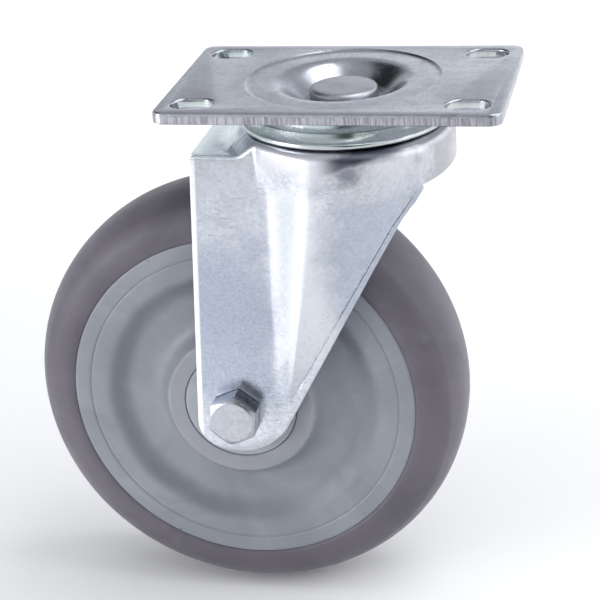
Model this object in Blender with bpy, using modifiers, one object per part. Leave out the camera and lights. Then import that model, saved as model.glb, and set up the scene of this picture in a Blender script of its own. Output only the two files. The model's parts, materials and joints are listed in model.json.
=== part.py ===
"""Swivel plate castor: slotted mounting plate, swivel head on two ball rows, trailing pressed
fork, and a 127 mm wheel with a soft tread on a plastic core.

Metres, +Z up. The origin is on the kingpin's axis at the plate's mounting face. The wheel
trails towards -X and its axle runs along Y. Lengths below are in millimetres.
"""

import math

import bmesh
import bpy
from mathutils import Matrix, Vector

MM = 0.001

# Wheel and axle
WHEEL_R = 63.5
TREAD_HALF = 16.0
AXLE_X = -31.75
AXLE_Z = -92.1

# Mounting plate
PLATE_X = 92.1
PLATE_Y = 60.3
PLATE_T = 3.2
PLATE_CORNER = 3.4
SLOT_X = 73.0
SLOT_Y = 44.45
SLOT_R = 4.2
SLOT_RUN = 3.2
RECESS_R = 26.4
RECESS_Z = -0.45
DISH_Z = -5.9

# Fork sheet
SHEET = 2.8
LEG_Y = 21.7
HEAD_R = 30.0
HEAD_HOLE_R = 7.2
HEAD_RIM_Z = -11.8
WEB_BACK_X = -38.8
SKIRT_Z = -23.5
SKIRT_ANGLE = math.radians(40.5)
CREST_ANGLE = math.radians(100)
TIP_C = (-32.15, -87.3)
TIP_R = 17.4
TIP_RIGHT = math.radians(-29)
TIP_MID = math.radians(-66)
TIP_LEFT = math.radians(-132)
BULGE_END_Z = -88.0
FOLD_BEVEL = 2.4
WEB_FOLD_SHARE = 0.45
HEAD_PROFILE = (
    (0, -11.0), (16.2, -11.0), (18.2, -10.7), (21.2, -11.3), (24.2, -10.7), (25.8, -11.5),
    (28.5, -11.8), (30.4, -12.8), (31.8, -14.2), (33.2, -15.0), (90, -15.0),
)

# Swivel balls
BALL_R = 3.0
UPPER_PITCH = 21.2
UPPER_Z = -8.0
UPPER_COUNT = 16
LOWER_PITCH = 11.2
LOWER_Z = -17.0
LOWER_COUNT = 10

# Axle bolt, sleeve and wheel bearings
BOLT_FLATS = 13.0
BOLT_R = 3.95
HOLE_R = 4.25
HEAD_FACE = 28.4
NUT_FACE = 30.0
SEAT_Y = 22.0
SLEEVE_R = 6.0
SLEEVE_HALF = 18.6
BEARING_R = 14.0
BEARING_HALF_W = 4.0
BEARING_Y = 12.0
RACE_PITCH = 10.0
RACE_BALL_R = 2.38
RACE_BALLS = 7
TRACK_R = RACE_BALL_R + 0.3
TRACK_HALF_W = 1.9
CAP_R = 16.3
HUB_HALF = 17.8

# Looks: colour, roughness, metallic
ZINC = ((0.62, 0.66, 0.70), 0.32, 1.0)
ZINC_MATT = ((0.56, 0.57, 0.62), 0.45, 1.0)
RACE = ((0.62, 0.65, 0.62), 0.30, 1.0)
BRIGHT = ((0.70, 0.70, 0.72), 0.25, 1.0)
HARD = ((0.60, 0.60, 0.62), 0.15, 1.0)
CAGE = ((0.55, 0.42, 0.18), 0.40, 1.0)
CORE_GREY = ((0.25, 0.27, 0.30), 0.50, 0.0)
CAP_GREY = ((0.24, 0.26, 0.28), 0.45, 0.0)
TREAD_GREY = ((0.13, 0.12, 0.14), 0.55, 0.0)

for old in list(bpy.data.objects):
    bpy.data.objects.remove(old, do_unlink=True)

parts = bpy.data.collections.new("swivel_castor")
cutters = bpy.data.collections.new("castor_cutters")
for coll in (parts, cutters):
    bpy.context.scene.collection.children.link(coll)


def lerp(a, b, t):
    return a + (b - a) * t


def ease(t):
    return t * t * (3 - 2 * t)


def pivot(name, place=(0, 0, 0), parent=None, along_y=False):
    """Empty on a joint's axis. With along_y its own Z points along the world's +Y."""
    empty = bpy.data.objects.new(name, None)
    empty.empty_display_size = 0.01
    empty.location = Vector(place) * MM
    if along_y:
        empty.rotation_euler = (-math.pi / 2, 0, 0)
    empty.parent = parent
    parts.objects.link(empty)
    return empty


def as_part(obj, look, parent=None):
    """Give a piece its material and its place in the assembly."""
    cutters.objects.unlink(obj)
    parts.objects.link(obj)
    obj.parent = parent
    colour, rough, metal = look
    if not obj.data.materials:
        mat = bpy.data.materials.new(obj.name)
        mat.use_nodes = True
        shader = mat.node_tree.nodes["Principled BSDF"]
        shader.inputs["Base Color"].default_value = (*colour, 1)
        shader.inputs["Roughness"].default_value = rough
        shader.inputs["Metallic"].default_value = metal
        obj.data.materials.append(mat)
    return obj


def as_cutter(obj, parent=None):
    obj.hide_render = True
    obj.display_type = "WIRE"
    obj.parent = parent
    return obj


def new_object(name, data):
    obj = bpy.data.objects.new(name, data)
    cutters.objects.link(obj)
    return obj


def bake(obj):
    """Apply an object's modifiers (or turn a curve into a mesh) and mark its sharp edges."""
    graph = bpy.context.evaluated_depsgraph_get()
    mesh = bpy.data.meshes.new_from_object(obj.evaluated_get(graph))
    bm = bmesh.new()
    bm.from_mesh(mesh)
    bmesh.ops.remove_doubles(bm, verts=bm.verts, dist=1e-6)
    bm.to_mesh(mesh)
    bm.free()
    mesh.shade_smooth()
    mesh.set_sharp_from_angle(angle=math.radians(32))
    name = obj.name
    bpy.data.objects.remove(obj, do_unlink=True)
    return new_object(name, mesh)


def turned(name, profile, steps=48):
    """Solid of revolution about its own Z from a (radius, height) profile.

    A profile that starts and ends on the axis is open; any other one is closed. It is put in
    the order that runs down its outer side.
    """
    closed = profile[0][0] > 0
    area = sum(r0 * z1 - r1 * z0
               for (r0, z0), (r1, z1) in zip(profile, profile[1:] + profile[:1]))
    points = profile[::-1] if area > 0 else profile
    mesh = bpy.data.meshes.new(name)
    edges = [(i, i + 1) for i in range(len(points) - 1)]
    if closed:
        edges.append((len(points) - 1, 0))
    mesh.from_pydata([(r * MM, 0, z * MM) for r, z in points], edges, [])
    obj = new_object(name, mesh)
    screw = obj.modifiers.new("turn", "SCREW")
    screw.axis = "Z"
    screw.angle = 2 * math.pi
    screw.steps = screw.render_steps = steps
    screw.use_merge_vertices = True
    screw.merge_threshold = 1e-6
    return bake(obj)


def outline_solid(name, points, z0, z1):
    """Flat outline in XY with thickness, from a filled 2D curve."""
    curve = bpy.data.curves.new(name, "CURVE")
    curve.dimensions = "2D"
    curve.fill_mode = "BOTH"
    curve.extrude = (z1 - z0) / 2 * MM
    line = curve.splines.new("POLY")
    line.points.add(len(points) - 1)
    for point, (x, y) in zip(line.points, points):
        point.co = (x * MM, y * MM, 0, 1)
    line.use_cyclic_u = True
    obj = bake(new_object(name, curve))
    obj.data.transform(Matrix.Translation((0, 0, (z0 + z1) / 2 * MM)))
    return obj


def arc(cx, cy, r, a0, a1, steps):
    return [(cx + r * math.cos(lerp(a0, a1, k / steps)), cy + r * math.sin(lerp(a0, a1, k / steps)))
            for k in range(steps + 1)]


def cut(obj, tool, operation="DIFFERENCE"):
    mod = obj.modifiers.new(tool.name, "BOOLEAN")
    mod.operation = operation
    mod.solver = "EXACT"
    mod.object = tool
    return mod


def round_edges(obj, width, limit, segments=2):
    mod = obj.modifiers.new("rounding", "BEVEL")
    mod.width = width * MM
    mod.segments = segments
    mod.limit_method = "ANGLE"
    mod.angle_limit = math.radians(limit)


def soft_slope(r0, z0, r1, z1, steps):
    """Profile points of a soft slope between two levels, its first point left out."""
    return [(lerp(r0, r1, k / steps), lerp(z0, z1, ease(k / steps))) for k in range(1, steps + 1)]


# ---------------------------------------------------------------- mounting plate
corners = []
for cx, cy, quarter in ((1, 1, 0), (-1, 1, 1), (-1, -1, 2), (1, -1, 3)):
    corners += arc(cx * (PLATE_X / 2 - PLATE_CORNER), cy * (PLATE_Y / 2 - PLATE_CORNER),
                   PLATE_CORNER, quarter * math.pi / 2, (quarter + 1) * math.pi / 2, 5)
plate = outline_solid("top_plate", corners, -PLATE_T, 0)
round_edges(plate, 0.5, 50)
for n, (sx, sy) in enumerate(((-1, -1), (1, -1), (1, 1), (-1, 1))):
    x, y = sx * SLOT_X / 2, sy * SLOT_Y / 2
    for label, r, bottom in (("slot", SLOT_R, -8), ("slot_rim", SLOT_R + 0.6, -0.55)):
        ends = arc(x + SLOT_RUN / 2, y, r, -math.pi / 2, math.pi / 2, 7)
        ends += arc(x - SLOT_RUN / 2, y, r, math.pi / 2, 3 * math.pi / 2, 7)
        tool = outline_solid(f"{label}_{n + 1}", ends, bottom, 4)
        if label == "slot_rim":
            round_edges(tool, 0.65, 60)
        cut(plate, as_cutter(tool))
floor_r, lip_r = 10.4, 17.6
dish = turned("dish_body", [(0, -2), (19.2, -2), (18.6, DISH_Z + 2.3),
                            *soft_slope(18.6, DISH_Z + 2.3, 11.4, DISH_Z - 3.1, 4),
                            (0, DISH_Z - 3.1)])
hollow = turned("dish_hollow", [(0, 3), (RECESS_R, 3), (RECESS_R, RECESS_Z + 0.3),
                                (RECESS_R - 0.3, RECESS_Z), (lip_r, RECESS_Z),
                                *soft_slope(lip_r, RECESS_Z, floor_r, DISH_Z, 5), (0, DISH_Z)])
pin_hole = turned("pin_hole", [(0, 3), (5.25, 3), (5.25, -14), (0, -14)], 32)
cut(plate, as_cutter(dish), "UNION")
cut(plate, as_cutter(hollow))
cut(plate, as_cutter(pin_hole))
as_part(plate, ZINC_MATT)

kingpin = turned("kingpin", [
    (0, -2.0), (8.8, -2.0), (9.4, -2.6), (9.4, -5.2), (9.0, -5.6), (5.0, -5.6),
    (5.0, -22.5), (8.2, -22.5), (7.4, -24.4), (4.6, -25.5), (0, -25.6)], 36)
as_part(kingpin, BRIGHT)

race_ring = turned("race_ring", [
    (18.9, -3.95), (25.6, -3.5), (26.0, -5.4), (27.0, -7.4), (28.5, -9.1), (28.7, -9.9),
    (28.2, -10.5), (27.5, -10.3), (26.0, -7.9), (25.0, -5.9), (24.7, -4.7), (18.9, -4.7)], 60)
as_part(race_ring, RACE)

lower_race = turned("lower_race", [
    (5.3, -20.2), (11.2, -20.4), (13.4, -19.9), (14.8, -18.0), (15.1, -15.0),
    (16.9, -15.0), (16.6, -18.8), (14.6, -21.6), (12.4, -22.2), (5.3, -22.2)], 36)
as_part(lower_race, RACE)


# ---------------------------------------------------------------- ball rows
def ball_mesh(name, radius):
    bpy.ops.mesh.primitive_ico_sphere_add(subdivisions=2, radius=radius * MM)
    obj = bpy.context.object
    mesh = obj.data
    mesh.name = name
    mesh.shade_smooth()
    bpy.data.objects.remove(obj)
    return mesh


def ball_ring(name, mesh, count, pitch, z, parent, digits, start):
    """Balls spaced evenly round the parent's Z axis, each its own object on one mesh."""
    for k in range(count):
        a = 2 * math.pi * (k + start) / count
        obj = new_object(f"{name}_{k + 1:0{digits}d}", mesh)
        obj.location = (pitch * math.cos(a) * MM, pitch * math.sin(a) * MM, z * MM)
        as_part(obj, HARD, parent)


swivel_balls = ball_mesh("swivel_ball", BALL_R)
ball_ring("upper_ball", swivel_balls, UPPER_COUNT, UPPER_PITCH, UPPER_Z,
          pivot("upper_row_axis"), 2, 0.5)
ball_ring("lower_ball", swivel_balls, LOWER_COUNT, LOWER_PITCH, LOWER_Z,
          pivot("lower_row_axis"), 2, 0.5)

# ---------------------------------------------------------------- fork
swivel = pivot("swivel_axis")
axle = pivot("axle_line", (AXLE_X, 0, AXLE_Z), swivel, along_y=True)


def head_z(r):
    """Height of the head's and the web's upper face at a distance from the kingpin."""
    for (r0, z0), (r1, z1) in zip(HEAD_PROFILE, HEAD_PROFILE[1:]):
        if r <= r1:
            return lerp(z0, z1, (r - r0) / (r1 - r0))
    return HEAD_PROFILE[-1][1]


def tip_point(angle):
    return (TIP_C[0] + TIP_R * math.cos(angle), TIP_C[1] + TIP_R * math.sin(angle))


def fork_lines():
    """Lines of the near half, from the head's front round to the web's back edge.

    Each is (point on the fold, web share, end on the leg's cut edge). The web share is 0 where
    the fold is at the head's rim level and 1 where it follows the web. Lines that end on the
    web's back edge have no leg end.
    """
    lines = []
    for k in range(4):
        a = -SKIRT_ANGLE * k / 3
        x, y = HEAD_R * math.cos(a), HEAD_R * math.sin(a)
        lines.append(((x, y), 0.0, (x, y, SKIRT_Z)))
    top = (HEAD_R * math.cos(SKIRT_ANGLE), SKIRT_Z)
    low = tip_point(TIP_RIGHT)
    for k in range(1, 8):
        t = k / 7
        a = -lerp(SKIRT_ANGLE, CREST_ANGLE, t)
        y = -lerp(HEAD_R * math.sin(SKIRT_ANGLE), LEG_Y, min(1, 1.6 * t))
        lines.append(((HEAD_R * math.cos(a), HEAD_R * math.sin(a)), 0.0,
                      (lerp(top[0], low[0], t), y, lerp(top[1], low[1], t))))
    foot = math.pi - math.asin(LEG_Y / HEAD_R)
    for k in range(1, 5):
        t = k / 4
        a = -lerp(CREST_ANGLE, foot, t)
        x, z = tip_point(lerp(TIP_RIGHT, TIP_MID, t))
        lines.append(((HEAD_R * math.cos(a), HEAD_R * math.sin(a)), ease(t), (x, -LEG_Y, z)))
    foot_x = HEAD_R * math.cos(foot)
    for k in range(1, 6):
        t = k / 5
        x, z = tip_point(lerp(TIP_MID, TIP_LEFT, t))
        lines.append(((lerp(foot_x, WEB_BACK_X, t), -LEG_Y), 1.0, (x, -LEG_Y, z)))
    for k in range(1, 4):
        lines.append(((WEB_BACK_X, -LEG_Y * (1 - k / 3)), 1.0, None))
    return lines


HEAD_ROWS = (HEAD_HOLE_R, 16.2, 18.2, 21.2, 24.2, 25.8)
WEB_STEPS = 4
LEG_STEPS = 7
FOLD_ROW = len(HEAD_ROWS) + WEB_STEPS - 1


def line_points(line):
    """Points of the sheet's outer face down one line: head, fold, leg."""
    (xo, yo), web, end = line
    reach = math.hypot(xo, yo)
    ux, uy = xo / reach, yo / reach
    radii = list(HEAD_ROWS)
    radii += [lerp(HEAD_ROWS[-1], reach, k / WEB_STEPS) for k in range(1, WEB_STEPS + 1)]
    pts = []
    for r in radii:
        z = head_z(r)
        pts.append((r * ux, r * uy, lerp(max(z, HEAD_RIM_Z) if r > 24 else z, z, web)))
    if end is None:
        return pts
    x1, y1, z1 = pts[-1]
    xe, ye, ze = end
    z_flat = max(ze, BULGE_END_Z)
    for k in range(1, LEG_STEPS + 1):
        z = lerp(z1, ze, k / LEG_STEPS)
        pts.append((lerp(x1, xe, k / LEG_STEPS),
                    lerp(y1, ye, min(1, (z1 - z) / (z1 - z_flat))), z))
    return pts


def fork_sheet():
    """Near half of the pressed sheet's outer face, with the fold's rounding as edge weights."""
    bm = bmesh.new()
    weight = bm.edges.layers.float.new("bevel_weight_edge")
    lines = fork_lines()
    grid = [[bm.verts.new([c * MM for c in p]) for p in line_points(line)] for line in lines]
    for left, right in zip(grid, grid[1:]):
        for i in range(min(len(left), len(right)) - 1):
            bm.faces.new((left[i], left[i + 1], right[i + 1], right[i]))
    for (left, right), (a, b) in zip(zip(grid, grid[1:]), zip(lines, lines[1:])):
        if b[2] is not None:
            edge = bm.edges.get((left[FOLD_ROW], right[FOLD_ROW]))
            edge[weight] = lerp(1.0, WEB_FOLD_SHARE, (a[1] + b[1]) / 2)
    bmesh.ops.recalc_face_normals(bm, faces=bm.faces)
    bm.faces.ensure_lookup_table()
    if bm.faces[0].normal.z < 0:
        bmesh.ops.reverse_faces(bm, faces=bm.faces)
    mesh = bpy.data.meshes.new("fork")
    bm.to_mesh(mesh)
    bm.free()
    return mesh


fork = new_object("fork", fork_sheet())
mirror = fork.modifiers.new("far half", "MIRROR")
mirror.use_axis = (False, True, False)
mirror.merge_threshold = 1e-5
shell = fork.modifiers.new("sheet", "SOLIDIFY")
shell.thickness = SHEET * MM
shell.offset = -1
shell.use_even_offset = True
fold = fork.modifiers.new("fold", "BEVEL")
fold.width = FOLD_BEVEL * MM
fold.segments = 3
fold.limit_method = "WEIGHT"
axle_hole = turned("axle_hole", [(0, 30), (HOLE_R, 30), (HOLE_R, -30), (0, -30)], 32)
cut(fork, as_cutter(axle_hole, axle))
fork.data.shade_smooth()
as_part(fork, ZINC, swivel)


# ---------------------------------------------------------------- axle
def hexagon(name, face, seat, turn):
    """Six-sided solid along Z with its outer face chamfered, between two heights."""
    bm = bmesh.new()
    bmesh.ops.create_cone(bm, cap_ends=True, segments=6, radius1=BOLT_FLATS / math.sqrt(3) * MM,
                          radius2=BOLT_FLATS / math.sqrt(3) * MM, depth=abs(face - seat) * MM)
    mesh = bpy.data.meshes.new(name)
    bm.to_mesh(mesh)
    bm.free()
    mesh.transform(Matrix.Translation((0, 0, (face + seat) / 2 * MM))
                   @ Matrix.Rotation(math.radians(turn), 4, "Z"))
    obj = new_object(name, mesh)
    inward = 1 if seat > face else -1
    crown = turned(f"{name}_crown", [(0, face - inward), (4.7, face - inward),
                                     (8.6, face + 1.25 * inward), (8.6, seat + inward),
                                     (0, seat + inward)], 36)
    cut(obj, as_cutter(crown, axle), "INTERSECT")
    return obj


bolt = hexagon("axle_bolt", -HEAD_FACE, -SEAT_Y, -53)
shank = turned("bolt_shank", [(0, -25), (BOLT_R, -25), (BOLT_R, 31.2), (3.2, 32), (0, 32)], 32)
cut(bolt, as_cutter(shank, axle), "UNION")
as_part(bolt, BRIGHT, axle)

nut = hexagon("axle_nut", NUT_FACE, SEAT_Y, -8)
thread = turned("nut_thread", [(0, 34), (HOLE_R, 34), (HOLE_R, 18), (0, 18)], 32)
cut(nut, as_cutter(thread, axle))
as_part(nut, BRIGHT, axle)

sleeve = turned("axle_sleeve", [(4.3, SLEEVE_HALF), (SLEEVE_R, SLEEVE_HALF),
                                (SLEEVE_R, -SLEEVE_HALF), (4.3, -SLEEVE_HALF)], 36)
as_part(sleeve, BRIGHT, axle)

# ---------------------------------------------------------------- wheel
wheel = pivot("wheel_axis", (AXLE_X, 0, AXLE_Z), along_y=True)


def both_sides(half):
    """Closed profile of a wheel piece from its (radius, half width) points."""
    return half + [(r, -y) for r, y in reversed(half) if y]


core = turned("wheel_core", both_sides([
    (12.0, 0.0), (12.0, 7.7), (14.3, 7.7), (14.3, 16.0), (16.6, 16.0), (16.6, HUB_HALF),
    (20.9, HUB_HALF), (21.9, 16.2), (24.2, 13.3), (27.0, 12.0), (33.0, 11.8), (38.6, 14.5),
    (41.6, 15.2), (45.2, 15.3), (45.6, 14.8), (46.0, 15.4), (49.7, 15.5), (50.1, 15.0),
    (50.1, 9.5), (53.0, 7.5)]), 44)
as_part(core, CORE_GREY, wheel)

tread = [(WHEEL_R - 6.2 * (y / TREAD_HALF) ** 2.5, y) for y in (15.6, 14.2, 11.6, 7.8, 0.0)]
tyre = turned("tyre", both_sides([(53.3, 7.65), (50.4, 9.65), (50.4, 15.5), (51.2, 15.95),
                                  (55.4, TREAD_HALF)] + tread), 60)
as_part(tyre, TREAD_GREY, wheel)



def ball_track(outward):
    """Ball groove's profile across the bearing, on the outer ring (1) or the inner ring (-1)."""
    offsets = [TRACK_HALF_W * k / 2 for k in range(-2, 3)]
    return [(RACE_PITCH + outward * math.sqrt(TRACK_R ** 2 - y * y), BEARING_Y + y)
            for y in offsets]


race_balls = ball_mesh("bearing_ball", RACE_BALL_R)
y0, y1 = BEARING_Y - BEARING_HALF_W, BEARING_Y + BEARING_HALF_W
for label, side in (("near", -1), ("far", 1)):
    rollers = pivot(f"bearing_axis_{label}", (AXLE_X, 0, AXLE_Z), along_y=True)
    for name, profile, look, owner in (
            ("dust_cap", [(6.4, 16.35), (16.1, 16.35), (CAP_R, 16.5), (CAP_R, 17.5),
                          (16.0, HUB_HALF), (8.6, HUB_HALF), (7.9, 17.4), (6.4, 17.4)],
             CAP_GREY, wheel),
            ("bearing_outer", [(BEARING_R, y1), (BEARING_R, y0), (11.9, y0), *ball_track(1),
                               (11.9, y1)], HARD, wheel),
            ("bearing_inner", [(6.3, y0), (8.1, y0), *ball_track(-1), (8.1, y1),
                               (6.3, y1)], HARD, axle)):
        ring = turned(f"{name}_{label}", [(r, side * y) for r, y in profile], 28)
        as_part(ring, look, owner)
    ball_ring(f"bearing_ball_{label}", race_balls, RACE_BALLS, RACE_PITCH, side * BEARING_Y,
              rollers, 1, 0)
    cage = turned(f"bearing_cage_{label}",
                  [(r, side * (BEARING_Y + g)) for r, g in
                   ((8.9, 3.3), (11.1, 3.3), (11.1, -1.9), (8.9, -1.9))], 28)
    for k in range(RACE_BALLS):
        pocket = turned(f"pocket_{label}_{k + 1}",
                        [(0, 13), (2.65, 13), (2.65, 7), (0, 7)], 12)
        pocket.rotation_euler = (0, math.pi / 2, 2 * math.pi * k / RACE_BALLS)
        pocket.location = (0, 0, side * BEARING_Y * MM)
        cut(cage, as_cutter(pocket, rollers))
    as_part(cage, CAGE, rollers)
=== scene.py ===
"""Looks of the swivel plate castor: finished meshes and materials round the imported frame.

World units are metres. The numbers of a shape are in millimetres and multiplied by MM.
"""
import json
import math
from collections import namedtuple

import bmesh
import bpy
from mathutils import Matrix, Vector


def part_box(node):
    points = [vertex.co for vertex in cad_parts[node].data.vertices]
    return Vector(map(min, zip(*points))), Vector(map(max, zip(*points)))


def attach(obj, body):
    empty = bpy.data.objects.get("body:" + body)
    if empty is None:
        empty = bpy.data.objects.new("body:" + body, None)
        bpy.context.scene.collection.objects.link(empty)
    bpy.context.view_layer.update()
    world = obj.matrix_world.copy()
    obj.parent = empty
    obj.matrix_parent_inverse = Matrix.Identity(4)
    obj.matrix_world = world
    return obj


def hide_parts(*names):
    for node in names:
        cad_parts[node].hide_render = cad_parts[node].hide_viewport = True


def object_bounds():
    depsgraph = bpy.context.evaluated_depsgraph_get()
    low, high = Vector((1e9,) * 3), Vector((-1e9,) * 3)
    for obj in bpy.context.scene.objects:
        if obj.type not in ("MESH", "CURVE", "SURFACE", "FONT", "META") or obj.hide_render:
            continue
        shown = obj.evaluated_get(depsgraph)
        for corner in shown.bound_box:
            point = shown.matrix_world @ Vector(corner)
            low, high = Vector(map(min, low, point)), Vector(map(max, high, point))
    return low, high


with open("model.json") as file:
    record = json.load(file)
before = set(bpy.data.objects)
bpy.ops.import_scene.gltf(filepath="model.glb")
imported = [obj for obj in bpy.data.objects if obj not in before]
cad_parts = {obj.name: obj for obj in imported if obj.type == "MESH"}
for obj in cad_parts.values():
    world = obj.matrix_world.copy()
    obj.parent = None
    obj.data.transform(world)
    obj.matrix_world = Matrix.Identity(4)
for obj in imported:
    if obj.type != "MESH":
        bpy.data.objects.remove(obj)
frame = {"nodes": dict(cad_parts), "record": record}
cad_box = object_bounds()

MM = 0.001
NODES = frame["nodes"]
BODY_OF = {n: body for body, names in frame["record"]["behaviour"]["bodies"].items()
           for n in names}
SLOT_OF = {part["node"]: part["material_slot"] for part in frame["record"]["subparts"]}


# ---------------------------------------------------------------- measures from the frame
def size_of(node):
    lo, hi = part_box(node)
    return [c / MM for c in lo], [c / MM for c in hi]


plate_lo, plate_hi = size_of("top_plate")
tyre_lo, tyre_hi = size_of("tyre")
bolt_lo, bolt_hi = size_of("axle_bolt")
nut_hi = size_of("axle_nut")[1]
cap_lo, cap_hi = size_of("dust_cap_near")
PLATE_X = plate_hi[0] - plate_lo[0]
PLATE_Y = plate_hi[1] - plate_lo[1]
WHEEL_R = (tyre_hi[2] - tyre_lo[2]) / 2
TREAD_HALF = tyre_hi[1]
AXLE_X = (tyre_lo[0] + tyre_hi[0]) / 2
AXLE_Z = (tyre_lo[2] + tyre_hi[2]) / 2
AXLE = Vector((AXLE_X, 0, AXLE_Z)) * MM
HEAD_FACE = -bolt_lo[1]
NUT_FACE = nut_hi[1]
BOLT_END = bolt_hi[1]
CAP_R = (cap_hi[0] - cap_lo[0]) / 2
HUB_HALF = -cap_lo[1]
WEB_BACK_X = -38.8
ALONG_Y = Matrix.Rotation(-math.pi / 2, 4, "X")


# ---------------------------------------------------------------- small helpers
def lerp(a, b, t):
    return a + (b - a) * t


def ease(t):
    return t * t * (3 - 2 * t)


def smooth_line(points, step):
    """Catmull-Rom curve through profile points, sampled about every step; a point given as
    (r, z, "corner") stays sharp."""
    out = []
    for i in range(len(points) - 1):
        p1, p2 = Vector(points[i][:2]), Vector(points[i + 1][:2])
        sharp1, sharp2 = len(points[i]) > 2, len(points[i + 1]) > 2
        p0 = p1 * 2 - p2 if sharp1 or i == 0 else Vector(points[i - 1][:2])
        p3 = p2 * 2 - p1 if sharp2 or i + 2 >= len(points) else Vector(points[i + 2][:2])
        count = max(1, round((p2 - p1).length / step))
        for k in range(count):
            t = k / count
            out.append(0.5 * (2 * p1 + (p2 - p0) * t + (2 * p0 - 5 * p1 + 4 * p2 - p3) * t * t
                              + (3 * p1 - p0 - 3 * p2 + p3) * t ** 3))
    out.append(Vector(points[-1][:2]))
    return [tuple(p) for p in out]


def new_piece(name, data, matrix=None):
    obj = bpy.data.objects.new(name, data)
    bpy.context.scene.collection.objects.link(obj)
    if matrix:
        obj.matrix_world = matrix
    return obj


def finished(obj, material, *nodes):
    """A piece takes its look, rides on its node's body and stands for its nodes."""
    obj.data.materials.clear()
    for m in material if isinstance(material, (list, tuple)) else [material]:
        obj.data.materials.append(m)
    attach(obj, BODY_OF[nodes[0]])
    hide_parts(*nodes)
    return obj


def applied(obj, sharp=35):
    """The object's mesh with its modifiers applied, shaded smooth up to the sharp angle."""
    graph = bpy.context.evaluated_depsgraph_get()
    mesh = bpy.data.meshes.new_from_object(obj.evaluated_get(graph))
    mesh.shade_smooth()
    mesh.set_sharp_from_angle(angle=math.radians(sharp))
    return mesh


def baked(obj, sharp=35):
    """Swap an object for one with the same name and place whose modifiers are applied."""
    name, place = obj.name, obj.matrix_world.copy()
    mesh = applied(obj, sharp)
    bpy.data.objects.remove(obj, do_unlink=True)
    return new_piece(name, mesh, place)


def turned(name, profile, steps=128, matrix=None, sharp=35, step=0.7):
    """Turned solid about its own Z. Its profile runs through (radius, height) points and is
    closed unless it starts on the axis."""
    closed = profile[0][0] > 0
    line = smooth_line(list(profile) + ([profile[0]] if closed else []), step)
    if closed:
        line.pop()
    area = sum(r0 * z1 - r1 * z0 for (r0, z0), (r1, z1) in zip(line, line[1:] + line[:1]))
    if area > 0:
        line.reverse()
    mesh = bpy.data.meshes.new(name)
    edges = [(i, i + 1) for i in range(len(line) - 1)]
    if closed:
        edges.append((len(line) - 1, 0))
    mesh.from_pydata([(r * MM, 0, z * MM) for r, z in line], edges, [])
    obj = new_piece(name, mesh, matrix or Matrix.Identity(4))
    screw = obj.modifiers.new("turn", "SCREW")
    screw.axis = "Z"
    screw.angle = 2 * math.pi
    screw.steps = screw.render_steps = steps
    screw.use_merge_vertices = True
    screw.merge_threshold = 1e-6
    bpy.context.view_layer.update()
    return baked(obj, sharp)


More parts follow.
